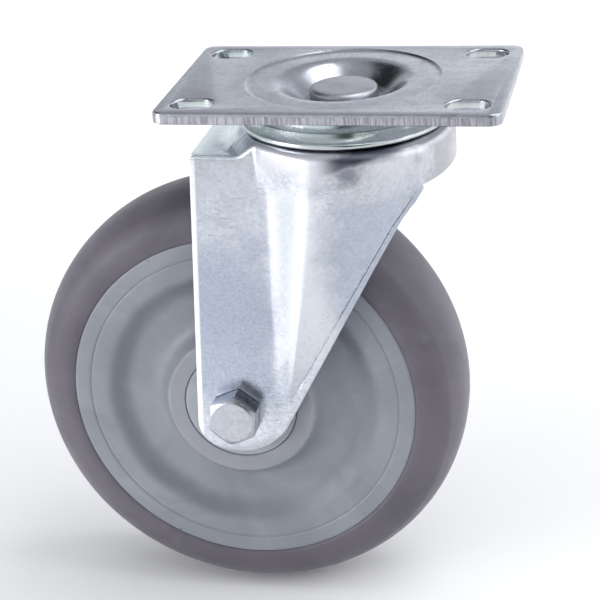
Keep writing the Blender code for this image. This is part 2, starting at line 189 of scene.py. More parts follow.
# ---------------------------------------------------------------- material kit
class Look:
    """A Principled material with a few shorthands for its node network."""

    def __init__(self, name, metallic=0.0, specular=0.5, coat=0.0):
        self.mat = bpy.data.materials.new(name)
        self.mat.use_nodes = True
        self.tree = self.mat.node_tree
        self.shader = self.tree.nodes["Principled BSDF"]
        self.shader.inputs["Metallic"].default_value = metallic
        self.shader.inputs["Specular IOR Level"].default_value = specular
        self.shader.inputs["Coat Weight"].default_value = coat
        self.place = self.tree.nodes.new("ShaderNodeTexCoord").outputs["Object"]
        self.height = None

    def node(self, kind, **sockets):
        n = self.tree.nodes.new(kind)
        for key, value in sockets.items():
            self.put(n.inputs[key.replace("_", " ")], value)
        return n

    def put(self, socket, value):
        if isinstance(value, bpy.types.NodeSocket):
            self.tree.links.new(value, socket)
        else:
            socket.default_value = value

    def stretched(self, scale, turn=(0, 0, 0), shift=(0, 0, 0)):
        n = self.node("ShaderNodeMapping", Vector=self.place, Scale=scale, Rotation=turn,
                      Location=shift)
        return n.outputs["Vector"]

    def shifted(self, x, y, z):
        return self.stretched((1, 1, 1), shift=(x, y, z))

    def noise(self, scale, detail=2.0, rough=0.5, place=None, distortion=0.0):
        n = self.node("ShaderNodeTexNoise", Vector=place or self.place, Scale=scale,
                      Detail=detail, Roughness=rough, Distortion=distortion)
        return n.outputs["Fac"]

    def cells(self, scale):
        n = self.node("ShaderNodeTexVoronoi", Vector=self.place, Scale=scale)
        return n.outputs["Distance"]

    def spread(self, value, lo, hi, out_lo=0.0, out_hi=1.0):
        """Map lo..hi to out_lo..out_hi, clamped and eased."""
        n = self.tree.nodes.new("ShaderNodeMapRange")
        n.interpolation_type = "SMOOTHSTEP"
        for key, v in (("Value", value), ("From Min", lo), ("From Max", hi),
                       ("To Min", out_lo), ("To Max", out_hi)):
            self.put(n.inputs[key], v)
        return n.outputs["Result"]

    def math(self, operation, a, b=0.0):
        n = self.tree.nodes.new("ShaderNodeMath")
        n.operation = operation
        self.put(n.inputs[0], a)
        self.put(n.inputs[1], b)
        return n.outputs["Value"]

    def product(self, *values):
        """Masks multiplied together."""
        result = values[0]
        for value in values[1:]:
            result = self.math("MULTIPLY", result, value)
        return result

    def zone(self, value, *edges):
        """Mask whose edges are pairs in millimetres: where it starts and where it is full."""
        return self.product(*[self.spread(value, lo * MM, hi * MM) for lo, hi in edges])

    def length(self, scale, shift=(0, 0, 0)):
        """Distance from a line or a point, in metres; shift is in millimetres."""
        n = self.node("ShaderNodeVectorMath",
                      Vector=self.stretched(scale, shift=tuple(c * MM for c in shift)))
        n.operation = "LENGTH"
        return n.outputs["Value"]

    def mix(self, share, a, b):
        n = self.tree.nodes.new("ShaderNodeMix")
        n.data_type = "RGBA"
        self.put(n.inputs["Factor"], share)
        a_in, b_in = [s for s in n.inputs if s.type == "RGBA"]
        for socket, value in ((a_in, a), (b_in, b)):
            self.put(socket, (*value, 1) if isinstance(value, tuple) and len(value) == 3 else value)
        return [s for s in n.outputs if s.type == "RGBA"][0]

    def axis(self, place, which):
        n = self.node("ShaderNodeSeparateXYZ", Vector=place)
        return n.outputs[which]

    def relief(self, value, depth):
        """Add a height pattern, depth in millimetres, to the surface's bump."""
        add = self.math("MULTIPLY", value, depth * MM)
        self.height = add if self.height is None else self.math("ADD", self.height, add)

    def done(self, colour, rough):
        self.put(self.shader.inputs["Base Color"], colour)
        self.put(self.shader.inputs["Roughness"], rough)
        if self.height is not None:
            bump = self.node("ShaderNodeBump", Height=self.height, Strength=1.0, Distance=1.0)
            self.put(self.shader.inputs["Normal"], bump.outputs["Normal"])
        return self.mat


def scratches(look, scale, turn, thin, keep):
    """0..1 mask of fine scattered scratches running one way."""
    long_way = look.stretched((scale, scale * 14, scale * 14), turn)
    line = look.math("ABSOLUTE", look.math("SUBTRACT", look.noise(1.0, 1.0, 0.4, long_way), 0.5))
    near = look.spread(line, 0.0, thin, 1.0, 0.0)
    patch = look.spread(look.noise(scale * 1.7, 2.0, 0.6), keep, keep + 0.08)
    return look.product(near, patch)


def zinc(name, tint, rough, grain, mottle=0.5, iridescence=0.35, wear=0.4):
    """Zinc plated steel: a base tint with blue, green and lilac bloom, fine crystal grain,
    rubbed bright and dull patches, and scattered scratches."""
    look = Look(name, metallic=1.0)
    r, g, b = tint
    broad = look.noise(38, 3.0, 0.55, distortion=0.6)
    bloom = look.noise(95, 2.0, 0.5, look.stretched((1, 1, 0.45)))
    fine = look.noise(1900, 3.0, 0.65)
    speck = look.noise(820, 4.0, 0.7)
    blue = (r * 0.93, g * 0.99, min(1, b * 1.05))
    lilac = (r * 1.02, g * 0.955, b * 1.0)
    green = (r * 0.96, g * 1.025, b * 0.965)
    colour = look.mix(look.spread(broad, 0.35, 0.65, 0, iridescence), tint, blue)
    colour = look.mix(look.spread(bloom, 0.45, 0.72, 0, iridescence), colour, lilac)
    tinged = look.noise(60, 2.0, 0.5, look.shifted(3, 1, 2))
    colour = look.mix(look.spread(tinged, 0.5, 0.75, 0, iridescence * 1.2), colour, green)
    dull_and_shade = look.spread(look.noise(170, 5.0, 0.7), 0.42, 0.68, 0, mottle)
    colour = look.mix(dull_and_shade, colour, (r * 0.74, g * 0.74, b * 0.77))
    sparkle = look.spread(speck, 0.3, 0.72, 0, grain)
    colour = look.mix(sparkle, colour, (r * 0.62, g * 0.63, b * 0.68))
    marks = look.math("MAXIMUM", scratches(look, 90, (0.3, 0.9, 0.4), 0.014, 0.51),
                      scratches(look, 70, (1.2, 0.2, 1.9), 0.012, 0.54))
    nicks = look.product(look.spread(look.noise(650, 2.0, 0.6), 0.64, 0.70),
                         look.spread(look.noise(75, 3.0, 0.6, look.shifted(5, 8, 2)), 0.52, 0.62))
    marks = look.math("MAXIMUM", marks, look.product(nicks, 0.8))
    colour = look.mix(look.product(marks, wear), colour, (r * 0.45, g * 0.45, b * 0.5))
    uneven = look.product(look.math("SUBTRACT", speck, 0.5), 0.35 * grain + 0.1)
    roughness = look.math("ADD", look.spread(broad, 0.3, 0.7, rough - 0.05, rough + 0.05), uneven)
    look.relief(fine, 0.010 * (0.4 + grain))
    look.relief(speck, 0.014 * (0.3 + grain))
    look.relief(look.noise(140, 3.0, 0.5), 0.02)
    look.relief(marks, -0.012)
    return look, colour, roughness


ZINC_FORK = (0.620, 0.645, 0.688)
ZINC_PLATE = (0.425, 0.443, 0.483)
ZINC_RING = (0.575, 0.625, 0.62)


# Zones of the fork's finish and of the shade, dark reflection and highlights painted on it, in
# millimetres: (where it starts, where it is full) along an axis.
DRIFT = 22
WORN_Z, WORN_X = (-21, -14), (-24, -18)
# Where shade is painted: the lower flat of each leg, ending at the tip, and the head's right side
# below the fold.
LEG_SHADE_Z, LEG_SHADE_X, LEG_SHADE_END_Z = (-34, -50), (-14, -24), (-94, -84)
RIGHT_X, RIGHT_Z = (-4, 4), (-23, -30)
# Where a dark reflection is painted under the fold's front: a slanted streak and a spot.
STREAK_SLOPE = 0.22
STREAK_SLANT = (-18.2, -15.2), (-11.4, -13.4)
STREAK_X = (-3, 4), (25, 13)
SPOT_STRETCH, SPOT_SHIFT, SPOT_EDGE = (0.7, 0, 1.3), (-4.2, 0, 22.6), (5.6, 0.4)
# Where a highlight is painted down the bulge of each leg.
BAND_X = (-21.5, -15), (2, -8)
BAND_Z = (-19, -27), (-88, -62)
SKIRT_X = (23, 28)
# Where highlights are painted on the shelf and along the web's back edge.
SHELF_X, SHELF_Z = (-22.5, -25.5), (-15.7, -15.1)
BACK_EDGE_TOP_Z = 15
BACK_EDGE_LEAN = 0.0587
BACK_EDGE_IN, BACK_EDGE_Z = (1.7, 1.1), (-15, -16.5)
# Tints: worn zinc, a painted dark reflection, a painted highlight on the bulge, the skirt, and
# painted highlights on the shelf and the back edge.
WORN_TINT = (0.70, 0.675, 0.715)
DARK_REFLECTION_TINT = (0.10, 0.11, 0.155)
BULGE_HIGHLIGHT_TINT = (0.82, 0.85, 0.88)
SKIRT_TINT = (0.40, 0.395, 0.42)
SHELF_HIGHLIGHT_TINT = (0.86, 0.94, 0.96)
BACK_EDGE_HIGHLIGHT_TINT = (0.93, 0.93, 0.95)


def fork_look():
    """The fork is worn matt along its fold, has a dark reflection painted under the fold's front,
    painted shade with grain down the flat of each leg, and painted highlights along the bulge, the
    shelf and the back edge."""
    look, colour, rough = zinc("fork_zinc", ZINC_FORK, 0.21, 0.55, wear=0.8)
    r, g, b = ZINC_FORK
    x, z = look.axis(look.place, "X"), look.axis(look.place, "Z")
    drift = look.product(look.math("SUBTRACT", look.noise(90, 4.0, 0.65), 0.5), DRIFT * MM)
    level = look.math("ADD", z, drift)
    across = look.math("ADD", x, drift)
    worn = look.product(look.zone(level, WORN_Z), look.zone(across, WORN_X))
    colour = look.mix(look.product(worn, 0.55), colour, WORN_TINT)
    rough = look.math("ADD", rough, look.product(worn, 0.16))

    grain = look.spread(look.noise(1300, 3.0, 0.7), 0.40, 0.62)
    # Painted shade: darker, bluer colour down the flat of each leg and on the head's right side
    # below the fold, with grain mixed into it.
    left = look.product(look.zone(level, LEG_SHADE_Z), look.zone(across, LEG_SHADE_X))
    right = look.product(look.zone(across, RIGHT_X), look.zone(level, RIGHT_Z), 0.55)
    dull_and_shade = look.product(look.math("MAXIMUM", left, right), look.zone(level, LEG_SHADE_END_Z))
    colour = look.mix(look.product(dull_and_shade, 0.74), colour, (r * 0.60, g * 0.64, b * 0.74))
    colour = look.mix(look.product(dull_and_shade, grain, 0.38), colour, (r * 0.42, g * 0.45, b * 0.52))

    # Painted dark reflection: a dark slanted streak and a spot under the fold's front.
    slant = look.math("SUBTRACT", look.math("ADD", z, look.product(drift, 0.25)),
                      look.product(x, STREAK_SLOPE))
    streak = look.product(look.zone(slant, *STREAK_SLANT), look.zone(x, *STREAK_X))
    spot = look.math("ADD", look.length(SPOT_STRETCH, SPOT_SHIFT), look.product(drift, 0.6))
    dark_reflection = look.math("MAXIMUM", streak, look.product(look.zone(spot, SPOT_EDGE), 0.72))
    colour = look.mix(look.product(dark_reflection, 0.93), colour, DARK_REFLECTION_TINT)

    # Painted highlight: a light band down the bulge of each leg.
    soft_x = look.math("ADD", x, look.product(drift, 0.3))
    band = look.product(look.zone(soft_x, *BAND_X), look.zone(level, *BAND_Z))
    colour = look.mix(look.product(band, 0.60), colour, BULGE_HIGHLIGHT_TINT)
    colour = look.mix(look.product(look.zone(across, SKIRT_X), 0.8), colour, SKIRT_TINT)
    # Painted highlights: the shelf and the web's back edge are lightened.
    shelf = look.product(look.zone(x, SHELF_X), look.zone(z, SHELF_Z))
    colour = look.mix(shelf, colour, SHELF_HIGHLIGHT_TINT)
    lean = look.product(look.math("ADD", z, BACK_EDGE_TOP_Z * MM), BACK_EDGE_LEAN)
    inset = look.math("SUBTRACT", look.math("SUBTRACT", x, WEB_BACK_X * MM), lean)
    back_edge = look.product(look.zone(inset, BACK_EDGE_IN), look.zone(z, BACK_EDGE_Z))
    colour = look.mix(look.product(back_edge, 0.85), colour, BACK_EDGE_HIGHLIGHT_TINT)
    look.relief(grain, 0.004)
    return look.done(colour, rough)


def plate_look():
    look, colour, rough = zinc("plate_zinc", ZINC_PLATE, 0.25, 0.34, mottle=0.6, wear=0.7)
    stretch = look.noise(30, 4.0, 0.65, look.stretched((1, 9, 1), (0, 0, 0.25)))
    colour = look.mix(look.spread(stretch, 0.4, 0.7, 0, 0.35), colour, (0.325, 0.33, 0.375))
    return look.done(colour, rough)


def cut_edge_look():
    """Sheared edge of the plate: bright striations across a duller torn band."""
    look, colour, rough = zinc("cut_edge_zinc", (0.56, 0.55, 0.585), 0.33, 0.3, iridescence=0.2)
    tall = look.stretched((1, 1, 0.05))
    lines = look.noise(1900, 3.0, 0.75, tall)
    wide = look.noise(260, 3.0, 0.6, look.stretched((1, 1, 0.25)))
    colour = look.mix(look.spread(lines, 0.42, 0.60, 0.0, 0.75), colour, (0.20, 0.195, 0.24))
    look.relief(lines, 0.06)
    look.relief(wide, 0.10)
    return look.done(colour, rough)


def ring_look():
    look, colour, rough = zinc("ring_zinc", ZINC_RING, 0.20, 0.08, mottle=0.3, iridescence=0.6)
    return look.done(colour, rough)


def bolt_look():
    look, colour, rough = zinc("bolt_zinc", (0.47, 0.485, 0.52), 0.27, 0.30, mottle=0.45)
    return look.done(colour, rough)


def rivet_look():
    look, colour, rough = zinc("rivet_steel", (0.44, 0.44, 0.475), 0.37, 0.25, mottle=0.5)
    rings = look.node("ShaderNodeTexWave", Vector=look.place, Scale=420, Distortion=4.0)
    rings.wave_type = "RINGS"
    rings.rings_direction = "Z"
    look.relief(rings.outputs["Fac"], 0.006)
    return look.done(colour, rough)


def bearing_look():
    look = Look("bearing_steel", metallic=1.0)
    cloud = look.noise(300, 3.0, 0.6)
    colour = look.mix(cloud, (0.56, 0.57, 0.60), (0.68, 0.69, 0.71))
    look.relief(look.noise(1500, 2.0), 0.003)
    return look.done(colour, look.spread(cloud, 0.3, 0.7, 0.10, 0.20))


def sleeve_look():
    look = Look("sleeve_steel", metallic=1.0)
    lines = look.noise(60, 3.0, 0.6, look.stretched((1, 1, 60)))
    colour = look.mix(lines, (0.46, 0.47, 0.49), (0.62, 0.62, 0.64))
    look.relief(lines, 0.01)
    return look.done(colour, look.spread(lines, 0.3, 0.7, 0.22, 0.36))


def cage_look():
    look = Look("cage_brass", metallic=1.0)
    cloud = look.noise(260, 4.0, 0.6)
    colour = look.mix(cloud, (0.52, 0.38, 0.16), (0.70, 0.56, 0.28))
    look.relief(look.noise(1200, 2.0), 0.006)
    return look.done(colour, look.spread(cloud, 0.3, 0.7, 0.28, 0.42))


def plastic(name, tint, rough, specular=0.4):
    """Moulded polypropylene: cloudy colour, fine flow marks, small pits and dark specks."""
    look = Look(name, specular=specular)
    r, g, b = tint
    cloud = look.noise(34, 4.0, 0.6, distortion=1.4)
    flow = look.noise(120, 5.0, 0.65)
    colour = look.mix(look.spread(cloud, 0.35, 0.68), (r * 0.90, g * 0.91, b * 0.92),
                      (r * 1.10, g * 1.09, b * 1.08))
    colour = look.mix(look.spread(flow, 0.45, 0.75, 0, 0.25), colour,
                      (r * 0.82, g * 0.86, b * 0.90))
    pits = look.spread(look.cells(330), 0.06, 0.12, 1.0, 0.0)
    few = look.spread(look.noise(150, 1.0, 0.5, look.shifted(7, 3, 5)), 0.57, 0.63)
    speck = look.product(pits, few)
    colour = look.mix(look.product(speck, 0.75), colour, (0.03, 0.03, 0.035))
    look.relief(look.noise(900, 3.0, 0.6), 0.012)
    look.relief(cloud, 0.03)
    look.relief(speck, -0.03)
    return look, colour, look.spread(flow, 0.3, 0.7, rough - 0.06, rough + 0.08)


# Rings of the wheel centre, as radii in millimetres, where shade and a highlight are painted.
SLOPE_RING = (32.0, 37.0), (41.5, 38.0)
STEP_RING = (21.5, 22.8), (26.2, 23.2)
HUB_HIGHLIGHT_RING = (22.2, 21.0)


def core_look():
    """Wheel centre: painted shade darkens the slope between the web and the rim, and the hub's
    step; a painted highlight lightens the hub.
    """
    look, colour, rough = plastic("core_plastic", (0.226, 0.239, 0.273), 0.42)
    radius = look.math("ADD", look.length((1, 1, 0)),
                       look.product(look.math("SUBTRACT", look.noise(60, 3.0), 0.5), 4 * MM))
    # Painted shade in the hollow slope and at the hub's step.
    painted_shade = look.math("MAXIMUM", look.zone(radius, *SLOPE_RING),
                      look.product(look.zone(radius, *STEP_RING), 0.45))
    colour = look.mix(look.product(painted_shade, 0.50), colour, (0.125, 0.135, 0.165))
    # Painted highlight: the hub inside its edge is lightened.
    hub = look.product(look.zone(radius, HUB_HIGHLIGHT_RING), 0.30)
    colour = look.mix(hub, colour, (0.33, 0.33, 0.36))
    return look.done(colour, rough)


def cap_look():
    look, colour, rough = plastic("cap_plastic", (0.306, 0.325, 0.362), 0.40)
    return look.done(colour, rough)


def tread_look():
    """Soft rubber: warm grey with rubbed patches, a faint grain and a few brown marks."""
    look = Look("tread_rubber", specular=0.35)
    cloud = look.noise(26, 4.0, 0.6, distortion=0.8)
    rub = look.noise(90, 5.0, 0.7)
    colour = look.mix(look.spread(cloud, 0.35, 0.68), (0.095, 0.086, 0.107), (0.124, 0.113, 0.137))
    colour = look.mix(look.spread(rub, 0.55, 0.8, 0, 0.35), colour, (0.18, 0.17, 0.185))
    dirt = look.product(look.spread(look.noise(70, 2.0, 0.5, look.shifted(2, 9, 4)), 0.66, 0.74),
                        look.spread(look.noise(700, 2.0), 0.4, 0.6, 0.2, 0.8))
    colour = look.mix(look.product(dirt, 0.5), colour, (0.105, 0.080, 0.062))
    look.relief(look.noise(1100, 3.0, 0.6), 0.012)
    look.relief(rub, 0.02)
    look.shader.inputs["Sheen Weight"].default_value = 0.16
    look.shader.inputs["Sheen Roughness"].default_value = 0.35
    return look.done(colour, look.spread(rub, 0.3, 0.75, 0.42, 0.58))


LOOKS = {
    "fork": fork_look(), "plate": plate_look(), "cut_edge": cut_edge_look(), "ring": ring_look(),
    "bolt": bolt_look(), "rivet": rivet_look(), "bearing": bearing_look(),
    "sleeve": sleeve_look(), "cage": cage_look(), "core": core_look(), "cap": cap_look(),
    "tread": tread_look(),
}

# ---------------------------------------------------------------- fork
SHEET = 2.8
LEG_Y = 21.7
HEAD_R = 30.0
HEAD_HOLE_R = 7.2
HEAD_RIM_Z = -11.0
WEB_Z = -15.0
SKIRT_Z = -23.5
SKIRT_ANGLE = math.radians(40.5)
CREST_ANGLE = math.radians(93)
TIP_C = (-32.15, -87.3)
TIP_R = 17.4
TIP_RIGHT = math.radians(-29)
TIP_MID = math.radians(-50)
TIP_LEFT = math.radians(-132)
BULGE_END_Z = -88.0
DIE_MARKS = ((2.2, 3.5, 0.7), (6.8, 3.6, 0.6))
DIE_MARK_RUN = 0.12
SKIRT_RISE = 1.6
CREASE_REACH = 14.0
BULGE_START = 0.12
FLANGE = (0.9, 2.6)
GROOVE_DEPTH = 0.28
GROOVE_HALF_W = 0.45
TIP_CORNER = 5.0
HEAD_FOLD_R = 3.7
WEB_FOLD_R = 1.3
HEAD_PROFILE = (
    (0, -11.0), (16.2, -11.0), (18.2, -10.7), (21.2, -11.3), (24.2, -10.8), (25.8, -10.9),
    (28.5, -11.1), (30.4, -12.2), (31.8, -13.9), (33.2, -15.0), (90, -15.0),
)


def head_z(r):
    """Height of the head's and the web's upper face at a distance from the kingpin."""
    for (r0, z0), (r1, z1) in zip(HEAD_PROFILE, HEAD_PROFILE[1:]):
        if r <= r1:
            return lerp(z0, z1, (r - r0) / (r1 - r0))
    return HEAD_PROFILE[-1][1]


def tip_point(angle):
    return (TIP_C[0] + TIP_R * math.cos(angle), TIP_C[1] + TIP_R * math.sin(angle))


def die_mark(distance):
    """How far the cut edge stands proud at a distance down the diagonal: two shallow lips left
    where the blanking punch stepped, each rising slowly and ending sharply."""
    proud = 0.0
    for end, length, height in DIE_MARKS:
        t = (distance - end + length) / length
        if 0 < t < 1.12:
            proud += height * (ease(t) if t < 1 else 1 - ease((t - 1) / 0.12))
    return proud


# fold: point on the fold; web: 0 on the head's rim, 1 on the web; end: the leg's end; last: where
# the sheet stops, as a share of the line, past 1 at a die mark; bulge: how far the leg stands
# proud below the fold; flange: width of the flat along the cut edge; groove: share of GROOVE_DEPTH.
Line = namedtuple("Line", "fold web end last bulge flange groove",
                  defaults=(1.0, None, 0.0, 0.0))
SKIRT_LINES, TIP_LINES, FLAT_LINES, BACK_LINES = 12, 24, 24, 10
MARK_LINES, DIAGONAL_LINES = 28, 30
STEEPEST = 0.3
EDGE_ROLL_IN = 1.25
FLANGE_GROWS = 5
GROOVE_FADES = 6
BULGE_FULLNESS = 1.88


def fork_lines():
    """Lines of the near half from the head's front round to the web's back edge."""
    lines = []
    for k in range(SKIRT_LINES + 1):
        t = k / SKIRT_LINES
        a = -SKIRT_ANGLE * t
        x, y = HEAD_R * math.cos(a), HEAD_R * math.sin(a)
        lines.append(Line((x, y), 0.0, (x, y, SKIRT_Z + SKIRT_RISE * (1 - t))))
    top = (HEAD_R * math.cos(SKIRT_ANGLE), SKIRT_Z)
    low = tip_point(TIP_RIGHT)
    run = Vector((low[0] - top[0], low[1] - top[1]))
    out = Vector((-run.y, run.x)).normalized()
    fine = [k / MARK_LINES * DIE_MARK_RUN for k in range(1, MARK_LINES + 1)]
    coarse = [lerp(DIE_MARK_RUN, 1, k / DIAGONAL_LINES) for k in range(1, DIAGONAL_LINES + 1)]
    for t in fine + coarse:
        a = -lerp(SKIRT_ANGLE, CREST_ANGLE, t)
        y = -lerp(HEAD_R * math.sin(SKIRT_ANGLE), LEG_Y, 1 - (1 - min(1, EDGE_ROLL_IN * t)) ** 2)
        end = (lerp(top[0], low[0], t), y, lerp(top[1], low[1], t))
        fall = Vector((end[0] - HEAD_R * math.cos(a), end[2] - HEAD_RIM_Z))
        steep = max(STEEPEST, out.dot(fall.normalized()))
        lines.append(Line((HEAD_R * math.cos(a), HEAD_R * math.sin(a)), 0.0, end,
                          last=1 + die_mark(t * run.length) / steep / fall.length,
                          flange=lerp(*FLANGE, t) * min(1, FLANGE_GROWS * t) / steep,
                          groove=min(1, GROOVE_FADES * (1 - t))))
    foot = math.pi - math.asin(LEG_Y / HEAD_R)
    for k in range(1, TIP_LINES + 1):
        t = k / TIP_LINES
        a = -lerp(CREST_ANGLE, foot, t)
        x, z = tip_point(lerp(TIP_RIGHT, TIP_MID, t))
        rise = max(0, 1 - t - BULGE_START) / (1 - BULGE_START)
        crest = HEAD_R * math.sin(CREST_ANGLE) - LEG_Y
        bulge = crest * rise ** 2 * (1 + BULGE_FULLNESS * (1 - rise))
        fall = Vector((x - HEAD_R * math.cos(a), z - HEAD_RIM_Z)).normalized()
        outward = Vector((x - TIP_C[0], z - TIP_C[1])) / TIP_R
        lines.append(Line((HEAD_R * math.cos(a), HEAD_R * math.sin(a)), ease(t), (x, -LEG_Y, z),
                          bulge=bulge, flange=FLANGE[1] / max(STEEPEST, outward.dot(fall))))
    foot_x = HEAD_R * math.cos(foot)
    corner = Vector(tip_point(TIP_LEFT))
    edge_end = corner + (Vector((WEB_BACK_X, WEB_Z)) - corner).normalized() * TIP_CORNER
    round_from = 1 - TIP_CORNER / (TIP_R * (TIP_MID - TIP_LEFT))
    arc_end = Vector(tip_point(lerp(TIP_MID, TIP_LEFT, round_from)))
    for k in range(1, FLAT_LINES + 1):
        t = k / FLAT_LINES
        x, z = tip_point(lerp(TIP_MID, TIP_LEFT, t))
        if t > round_from:
            u = (t - round_from) / (1 - round_from)
            x, z = arc_end * (1 - u) ** 2 + corner * 2 * u * (1 - u) + edge_end * u * u
        lines.append(Line((lerp(foot_x, WEB_BACK_X, t), -LEG_Y), 1.0, (x, -LEG_Y, z)))
    for k in range(1, BACK_LINES + 1):
        lines.append(Line((WEB_BACK_X, -LEG_Y * (1 - k / BACK_LINES)), 1.0, None))
    return lines


HEAD_ROWS = (HEAD_HOLE_R, 10, 13, 16.2, 17.2, 18.2, 19.2, 20.2, 21.2, 22.2, 23.2, 24.0)
FOLD_STEPS = 8
HEAD_STEPS = 8
LEG_STEPS = 34
FLANGE_STEPS = 4
GROOVE_ROW = LEG_STEPS - FLANGE_STEPS - 1
FOLD_FULLNESS = 0.86


def line_points(line):
    """Points of the sheet's outer face down one line, with the fold rounded by an arc."""
    (xo, yo), web, end, last, bulge, flange, groove_share = line
    reach = math.hypot(xo, yo)
    ux, uy = xo / reach, yo / reach
    radius = lerp(HEAD_FOLD_R, WEB_FOLD_R, web)

    def upper(r):
        z = head_z(r)
        rim = max(z, HEAD_RIM_Z) if r > HEAD_ROWS[-1] else z
        return Vector((r * ux, r * uy, lerp(rim, z, web)))

    def head_rows(far):
        spread = [lerp(HEAD_ROWS[-1], far, k / HEAD_STEPS) for k in range(1, HEAD_STEPS + 1)]
        return [upper(r) for r in (*HEAD_ROWS, *spread)]

    if end is None:
        return head_rows(reach)
    corner = upper(reach)
    xe, ye, ze = end
    length = (Vector(end) - corner).length
    z_flat = max(ze + flange * (corner.z - ze) / length, BULGE_END_Z)

    def leg(s):
        z = lerp(corner.z, ze, s)
        out = min(1, (corner.z - z) / (corner.z - z_flat)) ** 2
        top_y = corner.y
        if bulge is not None:
            top_y = lerp(top_y, ye - bulge, ease(min(1, (corner.z - z) / CREASE_REACH)))
        return Vector((lerp(corner.x, xe, s), lerp(top_y, ye, out), z))

    drop = (leg(0.2) - corner).normalized()
    inward = Vector((-ux, -uy, 0))
    half = math.acos(max(-1, min(1, drop.dot(inward)))) / 2
    setback = radius / math.tan(half)
    pts = head_rows(reach - setback)
    start = pts[-1]
    stop = leg(setback / length)
    for k in range(1, FOLD_STEPS):
        t = k / FOLD_STEPS
        pull = corner * FOLD_FULLNESS + (start + stop) / 2 * (1 - FOLD_FULLNESS)
        pts.append(start * (1 - t) ** 2 + pull * 2 * t * (1 - t) + stop * t * t)
    steps = [lerp(setback / length, last, k / LEG_STEPS) for k in range(LEG_STEPS + 1)]
    if flange:
        edge = 1 - flange / length
        groove = min(GROOVE_HALF_W / length, flange / length / 3)
        upto = GROOVE_ROW - 1
        steps = [lerp(setback / length, edge - groove, k / upto) for k in range(upto + 1)]
        steps += [edge, edge + groove]
        steps += [lerp(edge + groove, last, k / FLANGE_STEPS) for k in range(1, FLANGE_STEPS + 1)]
    for k, share in enumerate(steps):
        p = leg(share)
        if flange and k == GROOVE_ROW:
            p.y += GROOVE_DEPTH * groove_share * min(1, flange)
        pts.append(p)
    return pts


def fork_half(name):
    bm = bmesh.new()
    rows = [line_points(line) for line in fork_lines()]
    grid = [[bm.verts.new(p * MM) for p in row] for row in rows]
    for left, right in zip(grid, grid[1:]):
        for i in range(min(len(left), len(right)) - 1):
            bm.faces.new((left[i], left[i + 1], right[i + 1], right[i]))
    bmesh.ops.recalc_face_normals(bm, faces=bm.faces)
    bm.faces.ensure_lookup_table()
    if bm.faces[0].normal.z < 0:
        bmesh.ops.reverse_faces(bm, faces=bm.faces)
    mesh = bpy.data.meshes.new(name)
    bm.to_mesh(mesh)
    bm.free()
    return mesh


def boolean(obj, tool, operation="DIFFERENCE"):
    mod = obj.modifiers.new(tool.name, "BOOLEAN")
    mod.operation = operation
    mod.solver = "EXACT"
    mod.object = tool


def round_edges(obj, width, angle=50, segments=3):
    mod = obj.modifiers.new("rounding", "BEVEL")
    mod.width = width * MM
    mod.segments = segments
    mod.limit_method = "ANGLE"
    mod.angle_limit = math.radians(angle)
    return mod


def make_fork():
    fork = new_piece("pressed_fork", fork_half("pressed_fork"))
    mirror = fork.modifiers.new("far half", "MIRROR")
    mirror.use_axis = (False, True, False)
    mirror.merge_threshold = 1e-5
    shell = fork.modifiers.new("sheet", "SOLIDIFY")
    shell.thickness = SHEET * MM
    shell.offset = -1
    shell.use_even_offset = True
    bore = turned("fork_bore", [(0, 30, "c"), (4.25, 30, "c"), (4.25, -30, "c"), (0, -30, "c")],
                  64, Matrix.Translation(AXLE) @ ALONG_Y)
    boolean(fork, bore)
    round_edges(fork, 0.35, 60, 3)
    bpy.context.view_layer.update()
    fork = baked(fork, 42)
    bpy.data.objects.remove(bore, do_unlink=True)
    return finished(fork, LOOKS["fork"], "fork")


make_fork()


# ---------------------------------------------------------------- mounting plate
PLATE_T = 3.2
PLATE_CORNER = 3.4
SLOT_X = 73.0
SLOT_Y = 44.45
SLOT_R = 4.2
SLOT_RUN = 3.2
DISH_Z = -5.9
ROLL_OVER = 1.15


def rounded_box_outline(half_x, half_y, corner, steps):
    """Outline points, counter-clockwise, of a rectangle with round corners."""
    pts = []
    for cx, cy, quarter in ((1, 1, 0), (-1, 1, 1), (-1, -1, 2), (1, -1, 3)):
        for k in range(steps + 1):
            a = (quarter + k / steps) * math.pi / 2
            pts.append((cx * (half_x - corner) + corner * math.cos(a),
                        cy * (half_y - corner) + corner * math.sin(a)))
    return pts


def lofted(name, outlines):
    """Closed solid through equal-sized outlines, each (points, height), from below upwards."""
    bm = bmesh.new()
    rings = [[bm.verts.new((x * MM, y * MM, z * MM)) for x, y in pts] for pts, z in outlines]
    count = len(rings[0])
    for low, high in zip(rings, rings[1:]):
        for k in range(count):
            n = (k + 1) % count
            bm.faces.new((low[k], low[n], high[n], high[k]))
    bm.faces.new(rings[0][::-1])
    bm.faces.new(rings[-1])
    mesh = bpy.data.meshes.new(name)
    bm.to_mesh(mesh)
    bm.free()
    return new_piece(name, mesh)


def quarter_roll(width, top, depth=None, steps=6):
    """(inset, height) pairs up a rounded top edge of that width and depth."""
    depth = depth or width
    return [(width * (1 - math.cos(k / steps * math.pi / 2)),
             top - depth + depth * math.sin(k / steps * math.pi / 2)) for k in range(steps + 1)]


def plate_slab():
    levels = [(0.18, -PLATE_T), (0.0, -PLATE_T + 0.2)] + quarter_roll(0.62, 0, ROLL_OVER, 9)
    return lofted("mounting_plate", [
        (rounded_box_outline(PLATE_X / 2 - inset, PLATE_Y / 2 - inset, PLATE_CORNER - inset, 12), z)
        for inset, z in levels])


def slot_tool(number, x, y):
    """Slot cutter whose mouth flares like the rolled-over rim of a punched slot."""
    levels = [(0.25, -PLATE_T - 4), (0.25, -PLATE_T + 0.15), (0.0, -PLATE_T + 0.9)]
    levels += [(inset, z) for inset, z in quarter_roll(0.62, 0.001)] + [(0.62, 4)]
    outlines = []
    for grow, z in levels:
        r = SLOT_R + grow
        outlines.append(([(px + x, py + y) for px, py in
                          rounded_box_outline(SLOT_RUN / 2 + r, r, r - 1e-4, 16)], z))
    return lofted(f"slot_tool_{number}", outlines)


